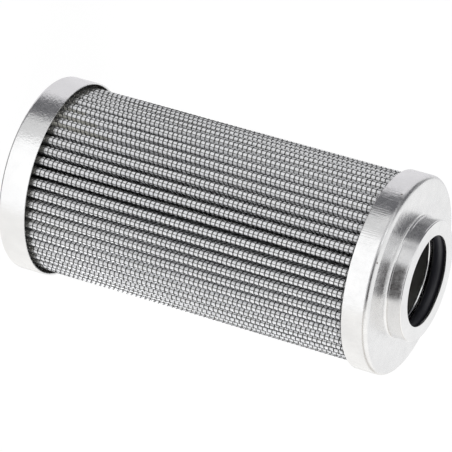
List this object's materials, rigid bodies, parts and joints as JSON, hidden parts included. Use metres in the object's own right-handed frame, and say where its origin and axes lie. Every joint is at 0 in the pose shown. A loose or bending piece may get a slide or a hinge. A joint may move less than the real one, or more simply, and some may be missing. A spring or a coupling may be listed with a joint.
{
  "type": "hydraulic filter element",
  "caption": "Pleated cylindrical hydraulic filter element with pressed steel end caps, a wire mesh jacket and a sealed collar at the open end.",
  "frame": {"origin": "centre of the closed end's outer face", "axes": "+Z along the element's axis, from the closed end to the collar at the open end"},
  "size_m": [0.047, 0.047, 0.0987],
  "materials": {
    "cap_steel": "bright zinc plated sheet steel, satin",
    "tube_steel": "plated perforated sheet steel, dull",
    "mesh_wire": "dark coated steel wire, woven",
    "fleece": "white polyester spunbond",
    "glass_fibre": "bonded glass fibre mat",
    "adhesive": "cast two-part epoxy, matte",
    "seal_rubber": "nitrile rubber, smooth"
  },
  "bodies": {
    "root": {"closed_end_cap": "cap_steel", "open_end_cap": "cap_steel", "seal_retainer_ring": "cap_steel", "bore_o_ring": "seal_rubber", "perforated_centre_tube": "tube_steel", "outer_wire_mesh": "mesh_wire", "outer_fleece": "fleece", "prefilter_layer": "glass_fibre", "main_filter_layer": "glass_fibre", "inner_fleece": "fleece", "inner_wire_mesh": "mesh_wire", "side_seam_bead": "adhesive", "closed_end_adhesive": "adhesive", "open_end_adhesive": "adhesive"}
  },
  "joints": []
}
